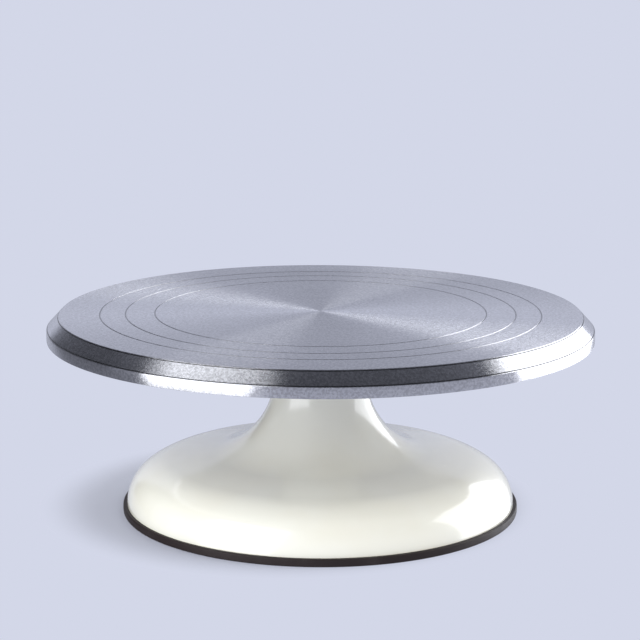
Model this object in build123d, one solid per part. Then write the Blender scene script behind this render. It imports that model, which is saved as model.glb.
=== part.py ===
from build123d import *
import math
import os

# Cake turntable, in millimetres. The origin is on the floor under the spindle's axis, with +Z up.
# A turned aluminium plate is screwed to a flanged hub on a steel spindle, which runs in two ball
# bearings inside the neck of a hollow cast pedestal that stands on a rubber ring.

# ---- Overall ----
overall_height = 113.0
plate_radius = 152.5
base_radius = 109.5
hexagon_sides = 6

# ---- Plate ----
bevel_width = 6.9
bevel_height = 7.4
rim_height = 5.8
plate_thickness = 5.0
rim_foot_width = 5.5
rim_inner_slope_width = 3.0
recess_corner_radius = 2.5
pad_height = 1.5
pad_margin = 1.5
pad_corner_radius = 1.0
guide_ring_insets = (29.5, 43.7, 60.0)
guide_ring_width = 1.0
guide_ring_depth = 0.35

# ---- Hub under the plate, with its screws ----
flange_thickness = 5.0
flange_screw_margin = 6.5
flange_edge_chamfer = 0.8
hub_collar_bore_gap = 3.5
hub_collar_length = 7.5
hub_screw_count = 4
hub_screw_neck_gap = 2.45
hub_screw_radius = 2.5
hub_screw_hole_clearance = 0.25
hub_screw_tip_gap = 0.5
plate_skin_over_screws = 1.5
button_head_radius = 4.75
button_head_height = 2.7
button_head_crown_share = 0.6
button_socket_width = 3.0
button_socket_depth = 1.5
set_screw_radius = 2.0
set_screw_inset = 0.5
set_screw_socket_width = 2.0
set_screw_socket_depth = 1.8

# ---- Bearings, both the same size ----
bearing_bore_radius = 8.5
bearing_outer_radius = 17.5
bearing_width = 10.0
ball_radius = 2.4
ball_count = 10
race_running_gap = 0.03
land_half_gap = 1.3
race_corner_radius = 0.4
cage_wall_gap = 0.35
cage_end_web = 0.6
cage_pocket_gap = 0.1
shield_thickness = 0.4
shield_inset = 0.5
shield_seat_depth = 1.1
shield_inner_gap = 0.2

# ---- Spindle stack ----
stub_step = 1.0
stub_end_gap = 0.5
spindle_shoulder_height = 3.0
spindle_shoulder_step = 2.0
journal_end_gap = 0.5
thread_radius = 6.0
thread_end_length = 2.0
spindle_end_gap = 5.2
spindle_chamfer = 0.8
spacer_wall = 2.0
washer_thickness = 1.6
washer_step = 2.0
washer_bore_gap = 0.2
lock_washer_height = 2.2
lock_washer_width = 3.2
lock_washer_split = 1.6
lock_washer_split_angle = 45.0
nut_across_flats = 18.0
nut_height = 8.0
nut_chamfer_angle = 30.0

# ---- Pedestal casting ----
hub_to_neck_gap = 1.5
neck_wall = 8.8
neck_edge_radius = 1.2
flare_radius = 44.2
shoulder_slope = 10.0
crown_radius = 39.65
crown_end_slope = 33.57
skirt_radius = 22.23
skirt_foot_height = 4.3
shell_wall = 5.0
bearing_boss_wall = 6.5
bearing_boss_floor_gap = 22.0
cavity_ceiling_height = 44.0
cavity_fillet_radius = 3.5
rib_count = 4
rib_thickness = 5.0
rib_boss_height = 27.0
rib_shell_height = 13.0
bore_shoulder_step = 2.5

# ---- Circlips, seal and cap ----
circlip_thickness = 1.2
circlip_groove_depth = 0.9
circlip_groove_gap = 0.05
circlip_width = 2.4
circlip_lug_width = 4.6
circlip_lug_radius = 2.2
circlip_lug_hole_radius = 0.9
circlip_opening_angle = 44.0
circlip_lug_angle = 30.0
seal_width = 3.4
seal_groove_depth = 2.4
seal_lip_width = 1.2
seal_running_gap = 0.3
cap_flange_step = 2.6
cap_flange_thickness = 1.2
cap_skirt_length = 6.0
cap_wall = 1.2

# ---- Foot ring ----
foot_thickness = 1.8
foot_lip_width = 2.2
foot_inner_lip_width = 2.0
foot_edge_radius = 0.8

# ---- Heights worked out from the sizes above ----
plate_underside = overall_height - plate_thickness
rim_bottom = overall_height - bevel_height - rim_height
pad_bottom = plate_underside - pad_height
flange_bottom = pad_bottom - flange_thickness
hub_collar_bottom = flange_bottom - hub_collar_length
neck_top = flange_bottom - hub_to_neck_gap
upper_bearing_top = hub_collar_bottom - spindle_shoulder_height
upper_bearing_bottom = upper_bearing_top - bearing_width
spindle_bottom = bearing_boss_floor_gap + spindle_end_gap
nut_bottom = spindle_bottom + thread_end_length
lock_washer_bottom = nut_bottom + nut_height
washer_bottom = lock_washer_bottom + lock_washer_height
lower_bearing_bottom = washer_bottom + washer_thickness
lower_bearing_top = lower_bearing_bottom + bearing_width
screw_tip_height = overall_height - plate_skin_over_screws - hub_screw_tip_gap

# ---- Radii worked out from the sizes above ----
neck_radius = bearing_outer_radius + neck_wall
bearing_boss_radius = bearing_outer_radius + bearing_boss_wall
hub_screw_circle_radius = neck_radius + hub_screw_neck_gap + button_head_radius
flange_radius = hub_screw_circle_radius + flange_screw_margin
hub_collar_radius = bearing_outer_radius - hub_collar_bore_gap
stub_radius = bearing_bore_radius - stub_step
seal_inner_radius = (neck_radius + bearing_outer_radius - seal_width) / 2
seal_outer_radius = seal_inner_radius + seal_width
ball_pitch_radius = (bearing_bore_radius + bearing_outer_radius) / 2
race_groove_radius = ball_radius + race_running_gap
inner_land_radius = ball_pitch_radius - land_half_gap
outer_land_radius = ball_pitch_radius + land_half_gap
shield_seat_radius = outer_land_radius + shield_seat_depth
shoulder_radius = bearing_bore_radius + spindle_shoulder_step
housing_bore_radius = bearing_outer_radius - bore_shoulder_step
circlip_outer_radius = bearing_outer_radius + circlip_groove_depth


def ring(inner, outer, low, high):
    """Make a plain ring, or a disc where the inner radius is 0, between two heights."""
    body = Pos(0, 0, low) * Cylinder(outer, high - low, align=(Align.CENTER, Align.CENTER, Align.MIN))
    if inner > 0:
        body -= Pos(0, 0, low) * Cylinder(inner, high - low, align=(Align.CENTER, Align.CENTER, Align.MIN))
    return body


def turned(points):
    """Turn a closed outline of (radius, height) points about the axis."""
    outline = Polyline(*[(radius, 0, height) for radius, height in points], close=True)
    return revolve(make_face(outline), axis=Axis.Z)


def around(shape, count, start_angle=0.0):
    """Copy a shape evenly about the axis and return the copies."""
    return [Rot(0, 0, start_angle + 360 * step / count) * shape for step in range(count)]


def edges_at(shape, radius, height):
    """Find the circular edges of a turned shape at one radius and height."""
    found = shape.edges().filter_by(GeomType.CIRCLE)
    return [
        edge for edge in found
        if math.isclose(edge.radius, radius, abs_tol=1e-4)
        and math.isclose(edge.center(CenterOf.BOUNDING_BOX).Z, height, abs_tol=1e-4)
    ]


def write(name, shape):
    """Write one node's solids to its STEP file."""
    export_step(Compound(children=list(shape.solids())), f"parts/{name}.step")


def turntable_plate():
    """Turned plate: bevelled rim, recessed underside, hub pad, tapped holes and guide rings."""
    rim_foot_inner = plate_radius - rim_foot_width
    recess_radius = rim_foot_inner - rim_inner_slope_width
    pad_radius = flange_radius + pad_margin
    plate = turned([
        (0, overall_height),
        (plate_radius - bevel_width, overall_height),
        (plate_radius, overall_height - bevel_height),
        (plate_radius, rim_bottom),
        (rim_foot_inner, rim_bottom),
        (recess_radius, plate_underside),
        (pad_radius, plate_underside),
        (pad_radius, pad_bottom),
        (0, pad_bottom),
    ])
    plate = fillet(edges_at(plate, recess_radius, plate_underside), recess_corner_radius)
    plate = fillet(edges_at(plate, pad_radius, plate_underside), pad_corner_radius)
    for inset in guide_ring_insets:
        middle = plate_radius - inset
        plate -= turned([
            (middle - guide_ring_width / 2, overall_height),
            (middle, overall_height - guide_ring_depth),
            (middle + guide_ring_width / 2, overall_height),
        ])
    tapped = ring(0, hub_screw_radius, pad_bottom, overall_height - plate_skin_over_screws)
    for hole in around(Pos(hub_screw_circle_radius, 0, 0) * tapped, hub_screw_count):
        plate -= hole
    return plate


def plate_hub():
    """Flanged hub: the flange is screwed to the plate and the collar grips the spindle."""
    hub = ring(0, flange_radius, flange_bottom, pad_bottom)
    hub = chamfer(edges_at(hub, flange_radius, flange_bottom), flange_edge_chamfer)
    hub += ring(0, hub_collar_radius, hub_collar_bottom, flange_bottom)
    hub -= ring(0, stub_radius, hub_collar_bottom, pad_bottom)
    passage = ring(0, hub_screw_radius + hub_screw_hole_clearance, flange_bottom, pad_bottom)
    for hole in around(Pos(hub_screw_circle_radius, 0, 0) * passage, hub_screw_count):
        hub -= hole
    return hub - set_screw_blank(0, hub_collar_radius)


def set_screw_blank(inner, outer):
    """Solid cylinder along +X between two distances from the axis, at the set screw's height."""
    height = (hub_collar_bottom + flange_bottom) / 2
    blank = Cylinder(set_screw_radius, outer - inner, align=(Align.CENTER, Align.CENTER, Align.MIN))
    return Pos(inner, 0, height) * Rot(0, 90, 0) * blank


def hub_set_screw():
    """Headless set screw that locks the hub's collar onto the spindle's stub."""
    outer = hub_collar_radius - set_screw_inset
    height = (hub_collar_bottom + flange_bottom) / 2
    socket = extrude(
        RegularPolygon(set_screw_socket_width / 2, hexagon_sides, major_radius=False),
        amount=-set_screw_socket_depth,
    )
    return set_screw_blank(stub_radius, outer) - Pos(outer, 0, height) * Rot(0, 90, 0) * socket


def hub_screws():
    """Button-head screws that hold the hub's flange to the plate, heads underneath."""
    head = ring(0, button_head_radius, flange_bottom - button_head_height, flange_bottom)
    head = fillet(
        edges_at(head, button_head_radius, flange_bottom - button_head_height),
        button_head_height * button_head_crown_share,
    )
    socket = extrude(
        RegularPolygon(button_socket_width / 2, hexagon_sides, major_radius=False), amount=button_socket_depth
    )
    head -= Pos(0, 0, flange_bottom - button_head_height) * socket
    screw = head + ring(0, hub_screw_radius, flange_bottom, screw_tip_height)
    return Compound(children=around(Pos(hub_screw_circle_radius, 0, 0) * screw, hub_screw_count))


def spindle():
    """Stepped steel spindle: stub for the hub, shoulder, bearing journal and threaded end."""
    journal_bottom = lower_bearing_bottom + journal_end_gap
    shaft = turned([
        (0, pad_bottom - stub_end_gap),
        (stub_radius - spindle_chamfer, pad_bottom - stub_end_gap),
        (stub_radius, pad_bottom - stub_end_gap - spindle_chamfer),
        (stub_radius, hub_collar_bottom),
        (shoulder_radius, hub_collar_bottom),
        (shoulder_radius, upper_bearing_top),
        (bearing_bore_radius, upper_bearing_top),
        (bearing_bore_radius, journal_bottom),
        (thread_radius, journal_bottom),
        (thread_radius, spindle_bottom + spindle_chamfer),
        (thread_radius - spindle_chamfer, spindle_bottom),
        (0, spindle_bottom),
    ])
    return shaft


def bearing_spacer():
    """Tube on the spindle that keeps the two inner races apart."""
    return ring(
        bearing_bore_radius, bearing_bore_radius + spacer_wall, lower_bearing_top, upper_bearing_bottom
    )


def spindle_washer():
    """Plain washer under the lower inner race."""
    outer = bearing_bore_radius + washer_step
    return ring(thread_radius + washer_bore_gap, outer, washer_bottom, lower_bearing_bottom)


def spindle_lock_washer():
    """Split spring washer between the plain washer and the nut."""
    inner = thread_radius + washer_bore_gap
    washer = ring(inner, inner + lock_washer_width, lock_washer_bottom, washer_bottom)
    split = Box(
        2 * lock_washer_width + inner, lock_washer_split, 3 * lock_washer_height,
        align=(Align.MIN, Align.CENTER, Align.CENTER),
    )
    middle = (lock_washer_bottom + washer_bottom) / 2
    return washer - Pos(0, 0, middle) * Rot(lock_washer_split_angle, 0, 0) * split


def spindle_nut():
    """Hexagon nut that clamps the inner races, spacer and shoulder together."""
    across_corners_radius = nut_across_flats / 2 / math.cos(math.pi / hexagon_sides)
    corner_drop = (across_corners_radius - nut_across_flats / 2) * math.tan(math.radians(nut_chamfer_angle))
    hexagon = RegularPolygon(across_corners_radius, hexagon_sides)
    prism = Pos(0, 0, nut_bottom) * extrude(hexagon, amount=nut_height)
    turned_blank = turned([
        (0, nut_bottom),
        (nut_across_flats / 2, nut_bottom),
        (across_corners_radius, nut_bottom + corner_drop),
        (across_corners_radius, lock_washer_bottom - corner_drop),
        (nut_across_flats / 2, lock_washer_bottom),
        (0, lock_washer_bottom),
    ])
    return (prism & turned_blank) - ring(0, thread_radius, nut_bottom, lock_washer_bottom)


def ball_groove(middle):
    """Ring of circular section that cuts the raceway into both races."""
    return Pos(0, 0, middle) * Torus(ball_pitch_radius, race_groove_radius)


def bearing_outer_race(low):
    """Outer race with its raceway and a shield seat at each end."""
    high = low + bearing_width
    seat = shield_inset + shield_thickness
    race = ring(outer_land_radius, bearing_outer_radius, low, high)
    race = fillet(
        edges_at(race, bearing_outer_radius, low) + edges_at(race, bearing_outer_radius, high),
        race_corner_radius,
    )
    race -= ball_groove(low + bearing_width / 2)
    race -= ring(outer_land_radius, shield_seat_radius, low, low + seat)
    return race - ring(outer_land_radius, shield_seat_radius, high - seat, high)


def bearing_inner_race(low):
    """Inner race with its raceway."""
    high = low + bearing_width
    race = ring(bearing_bore_radius, inner_land_radius, low, high)
    race = fillet(
        edges_at(race, bearing_bore_radius, low) + edges_at(race, bearing_bore_radius, high),
        race_corner_radius,
    )
    return race - ball_groove(low + bearing_width / 2)


def bearing_balls(low):
    """Balls evenly spaced on the pitch circle."""
    ball = Pos(ball_pitch_radius, 0, low + bearing_width / 2) * Sphere(ball_radius)
    return Compound(children=around(ball, ball_count))


def bearing_cage(low):
    """Ring with a round pocket for each ball."""
    middle = low + bearing_width / 2
    half_height = ball_radius + cage_pocket_gap + cage_end_web
    cage = ring(
        inner_land_radius + cage_wall_gap, outer_land_radius - cage_wall_gap,
        middle - half_height, middle + half_height,
    )
    pocket = Cylinder(ball_radius + cage_pocket_gap, 2 * bearing_outer_radius - 2 * ball_pitch_radius)
    for cut in around(Pos(ball_pitch_radius, 0, middle) * Rot(0, 90, 0) * pocket, ball_count):
        cage -= cut
    return cage


def bearing_shield(low):
    """Thin steel ring that covers the balls, seated in the outer race."""
    return ring(inner_land_radius + shield_inner_gap, shield_seat_radius, low, low + shield_thickness)


def circlip(low):
    """Internal circlip with two drilled lugs, in its groove in the bearing bore."""
    high = low + circlip_thickness
    clip = ring(circlip_outer_radius - circlip_width, circlip_outer_radius, low, high)
    half_opening = math.radians(circlip_opening_angle / 2)
    reach = 2 * circlip_outer_radius
    gap = extrude(
        make_face(Polyline(
            (0, 0),
            (reach * math.cos(half_opening), reach * math.sin(half_opening)),
            (reach * math.cos(half_opening), -reach * math.sin(half_opening)),
            close=True,
        )),
        amount=circlip_thickness,
    )
    clip -= Pos(0, 0, low) * gap
    lug_middle = circlip_outer_radius - circlip_lug_width + circlip_lug_radius
    inside = ring(0, circlip_outer_radius, low, high)
    for angle in (-circlip_lug_angle, circlip_lug_angle):
        lug = Rot(0, 0, angle) * Pos(lug_middle, 0, 0) * ring(0, circlip_lug_radius, low, high)
        hole = Rot(0, 0, angle) * Pos(lug_middle, 0, 0) * ring(0, circlip_lug_hole_radius, low, high)
        clip += lug & inside
        clip -= hole
    return clip


def dust_seal():
    """Rubber ring in the neck's top groove, its lip just under the turning flange."""
    seal = ring(seal_inner_radius, seal_outer_radius, neck_top - seal_groove_depth, neck_top)
    middle = (seal_inner_radius + seal_outer_radius) / 2
    lip = ring(
        middle - seal_lip_width / 2, middle + seal_lip_width / 2, neck_top, flange_bottom - seal_running_gap
    )
    return seal + lip


def bottom_cap():
    """Push-in cap that closes the bearing bore from underneath."""
    flange_low = bearing_boss_floor_gap - cap_flange_thickness
    cap = ring(0, bearing_outer_radius + cap_flange_step, flange_low, bearing_boss_floor_gap)
    cap = fillet(edges_at(cap, bearing_outer_radius + cap_flange_step, flange_low), cap_flange_thickness / 2)
    return cap + ring(
        bearing_outer_radius - cap_wall, bearing_outer_radius,
        bearing_boss_floor_gap, bearing_boss_floor_gap + cap_skirt_length,
    )


def bell_line(offset):
    """Points and arcs of the bell from the neck's side to the foot, set in by an offset."""
    slope = math.radians(shoulder_slope)
    crown = math.radians(crown_end_slope)
    shoulder_length = (
        base_radius - neck_radius - flare_radius * (1 - math.sin(slope))
        - crown_radius * (math.sin(crown) - math.sin(slope)) - skirt_radius * (1 - math.sin(crown))
    ) / math.cos(slope)
    skirt_centre = (base_radius - skirt_radius, skirt_foot_height)
    crown_centre = (
        skirt_centre[0] - (crown_radius - skirt_radius) * math.sin(crown),
        skirt_centre[1] - (crown_radius - skirt_radius) * math.cos(crown),
    )
    shoulder_end = (
        crown_centre[0] + crown_radius * math.sin(slope),
        crown_centre[1] + crown_radius * math.cos(slope),
    )
    flare_centre = (
        shoulder_end[0] - shoulder_length * math.cos(slope) + flare_radius * math.sin(slope),
        shoulder_end[1] + shoulder_length * math.sin(slope) + flare_radius * math.cos(slope),
    )

    def on_arc(centre, radius, angle):
        """Point at a slope angle on a convex arc."""
        return (centre[0] + radius * math.sin(angle), centre[1] + radius * math.cos(angle))

    return {
        "flare_centre": flare_centre,
        "flare_radius": flare_radius + offset,
        "shoulder": (
            on_arc(flare_centre, -(flare_radius + offset), slope),
            on_arc(crown_centre, crown_radius - offset, slope),
        ),
        "crown_middle": on_arc(crown_centre, crown_radius - offset, (slope + crown) / 2),
        "crown_end": on_arc(crown_centre, crown_radius - offset, crown),
        "skirt_middle": on_arc(skirt_centre, skirt_radius - offset, (crown + math.pi / 2) / 2),
        "skirt_end": (base_radius - offset, skirt_foot_height),
    }


def flare_point(line, angle):
    """Point on the flare, at an angle below the horizontal through its centre."""
    return (
        line["flare_centre"][0] - line["flare_radius"] * math.cos(angle),
        line["flare_centre"][1] - line["flare_radius"] * math.sin(angle),
    )


def upright(point):
    """Put a (radius, height) point into the XZ plane."""
    return (point[0], 0, point[1])


def bell_edges(line, start_angle):
    """Edges of the bell from a flare angle, or the neck, out to the skirt's lower end."""
    end_angle = math.pi / 2 - math.radians(shoulder_slope)
    start = flare_point(line, start_angle)
    middle = flare_point(line, (start_angle + end_angle) / 2)
    return [
        ThreePointArc(upright(start), upright(middle), upright(line["shoulder"][0])),
        Line(upright(line["shoulder"][0]), upright(line["shoulder"][1])),
        ThreePointArc(
            upright(line["shoulder"][1]), upright(line["crown_middle"]), upright(line["crown_end"])
        ),
        ThreePointArc(
            upright(line["crown_end"]), upright(line["skirt_middle"]), upright(line["skirt_end"])
        ),
    ]


def bell_outside():
    """Solid of the pedestal's outer shape, from the neck's top to the foot."""
    line = bell_line(0)
    edges = bell_edges(line, 0)
    corners = [line["skirt_end"], (base_radius, foot_thickness), (0, foot_thickness), (0, neck_top)]
    corners += [(neck_radius, neck_top), flare_point(line, 0)]
    edges += [Line(upright(first), upright(second)) for first, second in zip(corners, corners[1:])]
    bell = revolve(make_face(Curve() + edges), axis=Axis.Z)
    return fillet(edges_at(bell, neck_radius, neck_top), neck_edge_radius)


def bell_hollow():
    """Solid of the hollow under the shell, round the bearing boss and between the ribs."""
    line = bell_line(shell_wall)
    rise = line["flare_centre"][1] - cavity_ceiling_height
    start_angle = math.asin(rise / line["flare_radius"])
    edges = bell_edges(line, start_angle)
    corners = [line["skirt_end"], (base_radius - shell_wall, 0), (bearing_boss_radius, 0)]
    corners += [(bearing_boss_radius, cavity_ceiling_height), flare_point(line, start_angle)]
    edges += [Line(upright(first), upright(second)) for first, second in zip(corners, corners[1:])]
    hollow = revolve(make_face(Curve() + edges), axis=Axis.Z)
    hollow = fillet(
        edges_at(hollow, bearing_boss_radius, cavity_ceiling_height)
        + edges_at(hollow, flare_point(line, start_angle)[0], cavity_ceiling_height),
        cavity_fillet_radius,
    )
    rib_outline = Polyline(
        (0, 0, rib_boss_height),
        (bearing_boss_radius, 0, rib_boss_height),
        (base_radius, 0, rib_shell_height),
        (base_radius, 0, neck_top),
        (0, 0, neck_top),
        close=True,
    )
    rib = extrude(make_face(rib_outline), amount=rib_thickness / 2, both=True)
    for web in around(rib, rib_count, start_angle=180 / rib_count):
        hollow -= web
    return hollow + ring(0, bearing_boss_radius, 0, bearing_boss_floor_gap)


def pedestal():
    """Hollow cast pedestal with a bored neck, two bearing seats, circlip and seal grooves."""
    groove_height = circlip_thickness + circlip_groove_gap
    casting = bell_outside() - bell_hollow()
    casting -= ring(0, housing_bore_radius, bearing_boss_floor_gap, neck_top)
    casting -= ring(0, bearing_outer_radius, upper_bearing_bottom, neck_top)
    casting -= ring(0, bearing_outer_radius, bearing_boss_floor_gap, lower_bearing_top)
    casting -= ring(0, circlip_outer_radius, upper_bearing_top, upper_bearing_top + groove_height)
    casting -= ring(0, circlip_outer_radius, lower_bearing_bottom - groove_height, lower_bearing_bottom)
    return casting - ring(seal_inner_radius, seal_outer_radius, neck_top - seal_groove_depth, neck_top)


def foot_ring():
    """Rubber channel stretched over the pedestal's lower edge."""
    outer = base_radius + foot_lip_width
    wall_inner = base_radius - shell_wall
    inner = wall_inner - foot_inner_lip_width
    foot = ring(inner, outer, 0, skirt_foot_height)
    foot -= ring(wall_inner, base_radius, foot_thickness, skirt_foot_height)
    return fillet(
        edges_at(foot, outer, 0) + edges_at(foot, outer, skirt_foot_height) + edges_at(foot, inner, 0),
        foot_edge_radius,
    )


def write_bearing(place, low):
    """Write the six nodes of one bearing that starts at a height."""
    high_shield = low + bearing_width - shield_inset - shield_thickness
    write(f"{place}_bearing_outer_race", bearing_outer_race(low))
    write(f"{place}_bearing_inner_race", bearing_inner_race(low))
    write(f"{place}_bearing_balls", bearing_balls(low))
    write(f"{place}_bearing_cage", bearing_cage(low))
    write(f"{place}_bearing_top_shield", bearing_shield(high_shield))
    write(f"{place}_bearing_bottom_shield", bearing_shield(low + shield_inset))


def main():
    """Build every node and write it to parts/."""
    os.makedirs("parts", exist_ok=True)
    write("turntable_plate", turntable_plate())
    write("plate_hub", plate_hub())
    write("hub_set_screw", hub_set_screw())
    write("hub_screws", hub_screws())
    write("spindle", spindle())
    write("bearing_spacer", bearing_spacer())
    write("spindle_washer", spindle_washer())
    write("spindle_lock_washer", spindle_lock_washer())
    write("spindle_nut", spindle_nut())
    write_bearing("upper", upper_bearing_bottom)
    write_bearing("lower", lower_bearing_bottom)
    write("upper_circlip", circlip(upper_bearing_top))
    write("lower_circlip", circlip(lower_bearing_bottom - circlip_thickness))
    write("dust_seal", dust_seal())
    write("bottom_cap", bottom_cap())
    write("pedestal", pedestal())
    write("foot_ring", foot_ring())


if __name__ == "__main__":
    main()
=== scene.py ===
import logging
import math
from collections.abc import Callable, Sequence
from dataclasses import dataclass, field
from enum import Enum
from functools import cache

import bmesh
import bpy
from mathutils import Matrix, Vector


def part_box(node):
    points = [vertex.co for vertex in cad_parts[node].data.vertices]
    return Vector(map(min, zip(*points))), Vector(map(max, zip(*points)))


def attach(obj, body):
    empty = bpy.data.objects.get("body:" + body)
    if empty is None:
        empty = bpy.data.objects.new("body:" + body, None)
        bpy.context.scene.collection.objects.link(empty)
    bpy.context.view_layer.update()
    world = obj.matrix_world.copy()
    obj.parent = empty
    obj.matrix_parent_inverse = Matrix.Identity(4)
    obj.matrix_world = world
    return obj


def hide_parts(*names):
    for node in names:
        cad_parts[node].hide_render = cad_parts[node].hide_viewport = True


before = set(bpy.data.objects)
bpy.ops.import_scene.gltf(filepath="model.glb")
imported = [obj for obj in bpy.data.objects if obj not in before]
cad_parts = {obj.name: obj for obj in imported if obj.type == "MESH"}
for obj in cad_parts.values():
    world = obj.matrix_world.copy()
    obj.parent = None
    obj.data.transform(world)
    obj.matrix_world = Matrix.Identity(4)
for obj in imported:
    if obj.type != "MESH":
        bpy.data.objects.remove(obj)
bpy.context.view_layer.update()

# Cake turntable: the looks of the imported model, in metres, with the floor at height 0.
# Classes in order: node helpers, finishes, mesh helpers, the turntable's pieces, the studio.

LOG = logging.getLogger("cake_turntable")
MM = 0.001
Colour = tuple[float, float, float]
Span = tuple[float, float]


# ---- Node helpers ----


def operator(operation: str, swapped: bool = False) -> Callable[["Value", "Number"], "Value"]:
    """Make one of Value's operators.

    Args:
        operation: The Math node's operation.
        swapped: Whether the other operand comes first.

    Returns:
        The operator's method.
    """

    def apply(value: "Value", other: "Number") -> "Value":
        """Add the Math node for the two operands."""
        pair = (other, value) if swapped else (value, other)
        return value.graph.maths(operation, *pair)

    return apply


@dataclass(frozen=True)
class Value:
    """A number worked out by a node tree, with Python's operators on it."""

    graph: "Graph"
    socket: bpy.types.NodeSocket

    __add__ = __radd__ = operator("ADD")
    __sub__, __rsub__ = operator("SUBTRACT"), operator("SUBTRACT", swapped=True)
    __mul__ = __rmul__ = operator("MULTIPLY")
    __truediv__ = operator("DIVIDE")
    __pow__ = operator("POWER")

    def __abs__(self) -> "Value":
        """Distance from zero."""
        return self.graph.maths("ABSOLUTE", self)

    def floor(self) -> "Value":
        """Next whole number below."""
        return self.graph.maths("FLOOR", self)


Number = float | Value
Source = Number | int | Colour | bpy.types.NodeSocket | bpy.types.Material


class Graph:
    """Adds nodes to one shader or geometry tree."""

    def __init__(self, tree: bpy.types.NodeTree) -> None:
        """Keep the tree and clear it.

        Args:
            tree: The node tree to fill.
        """
        self.tree = tree
        tree.nodes.clear()

    def node(
        self, kind: str, settings: dict | None = None, inputs: dict[str | int, Source] | None = None
    ) -> bpy.types.Node:
        """Add a node of any type.

        Args:
            kind: The node's type name.
            settings: Properties set before the sockets are fed.
            inputs: Values or links by socket name or index.

        Returns:
            The new node.
        """
        made = self.tree.nodes.new(kind)
        for name, value in (settings or {}).items():
            setattr(made, name, value)
        self.feed(made.inputs, inputs or {})
        return made

    def feed(self, sockets: bpy.types.NodeInputs, values: dict[str | int, Source]) -> None:
        """Link sockets, or set them to constants.

        Args:
            sockets: The inputs to feed.
            values: A value, a socket or a constant by socket name or index.
        """
        for key, value in values.items():
            socket = sockets[key]
            if isinstance(value, Value):
                value = value.socket
            if isinstance(value, bpy.types.NodeSocket):
                self.tree.links.new(value, socket)
            elif isinstance(value, tuple) and socket.type == "RGBA":
                socket.default_value = (*value, 1.0)
            else:
                socket.default_value = value

    def value(self, socket: bpy.types.NodeSocket) -> Value:
        """Wrap a socket as a value."""
        return Value(self, socket)

    def maths(self, operation: str, *values: Number) -> Value:
        """Add a Math node.

        Args:
            operation: The Math node's operation.
            values: Its operands, in order.

        Returns:
            The node's result.
        """
        made = self.node("ShaderNodeMath", {"operation": operation}, dict(enumerate(values)))
        return self.value(made.outputs[0])

    def smooth(self, value: Number, low: Number, high: Number) -> Value:
        """Rise smoothly from 0 at one limit to 1 at the other.

        Args:
            value: The value to test.
            low: Where the result is 0.
            high: Where the result is 1.

        Returns:
            The smooth step.
        """
        made = self.node(
            "ShaderNodeMapRange",
            {"interpolation_type": "SMOOTHSTEP"},
            {"Value": value, "From Min": low, "From Max": high},
        )
        return self.value(made.outputs["Result"])

    def noise(self, scale: float, detail: float = 2.0) -> Value:
        """Add a three-dimensional noise on the object's own coordinates.

        Args:
            scale: Features per metre.
            detail: Number of finer layers.

        Returns:
            Noise from 0 to 1.
        """
        made = self.node(
            "ShaderNodeTexNoise",
            {"noise_dimensions": "3D"},
            {"Vector": self.place(), "Scale": scale, "Detail": detail},
        )
        return self.value(made.outputs[0])

    def lines(self, along: Value, pitch: float, detail: float = 2.0) -> Value:
        """Add a noise that changes along one distance only, like tool marks.

        Args:
            along: The distance in metres.
            pitch: Rough distance between marks.
            detail: Number of finer layers.

        Returns:
            Noise from 0 to 1.
        """
        made = self.node(
            "ShaderNodeTexNoise",
            {"noise_dimensions": "1D"},
            {"W": along / pitch, "Scale": 1.0, "Detail": detail},
        )
        return self.value(made.outputs[0])

    def place(self) -> bpy.types.NodeSocket:
        """The object's own coordinates, in metres."""
        return self.node("ShaderNodeTexCoord").outputs["Object"]

    def split(self, vector: bpy.types.NodeSocket) -> tuple[Value, Value, Value]:
        """Split a vector into its parts."""
        made = self.node("ShaderNodeSeparateXYZ", None, {0: vector})
        return self.value(made.outputs[0]), self.value(made.outputs[1]), self.value(made.outputs[2])

    def mix(self, share: Number, first: Source, second: Source) -> bpy.types.NodeSocket:
        """Mix two colours.

        Args:
            share: Share of the second colour, from 0 to 1.
            first: The colour at 0.
            second: The colour at 1.

        Returns:
            The mixed colour.
        """
        made = self.node("ShaderNodeMix", {"data_type": "RGBA"}, {0: share, 6: first, 7: second})
        return made.outputs[2]

    def bump(self, height: Value) -> bpy.types.NodeSocket:
        """Turn a height in metres into a bumped normal."""
        made = self.node("ShaderNodeBump", None, {"Height": height, "Distance": 1.0, "Strength": 1.0})
        return made.outputs["Normal"]


# ---- Finishes ----


def shaded(colour: Colour, share: float) -> Colour:
    """A lighter or darker version of a colour, no brighter than 1."""
    return tuple(min(1.0, part * share) for part in colour)


@dataclass(frozen=True)
class Finish:
    """A surface finish; each kind of finish paints its own nodes."""

    name: str
    colour: Colour
    roughness: float

    @cache
    def material(self) -> bpy.types.Material:
        """Make the material once.

        Returns:
            The finished material.
        """
        made = bpy.data.materials.new(self.name)
        made.use_nodes = True
        graph = Graph(made.node_tree)
        shader = graph.node("ShaderNodeBsdfPrincipled")
        graph.node("ShaderNodeOutputMaterial", None, {"Surface": shader.outputs["BSDF"]})
        self.paint(graph, shader.inputs)
        return made

    def paint(self, graph: Graph, shader: bpy.types.NodeInputs) -> None:
        """Feed the shader.

        Args:
            graph: The material's nodes.
            shader: The inputs of its main shader.
        """
        raise NotImplementedError


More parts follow.
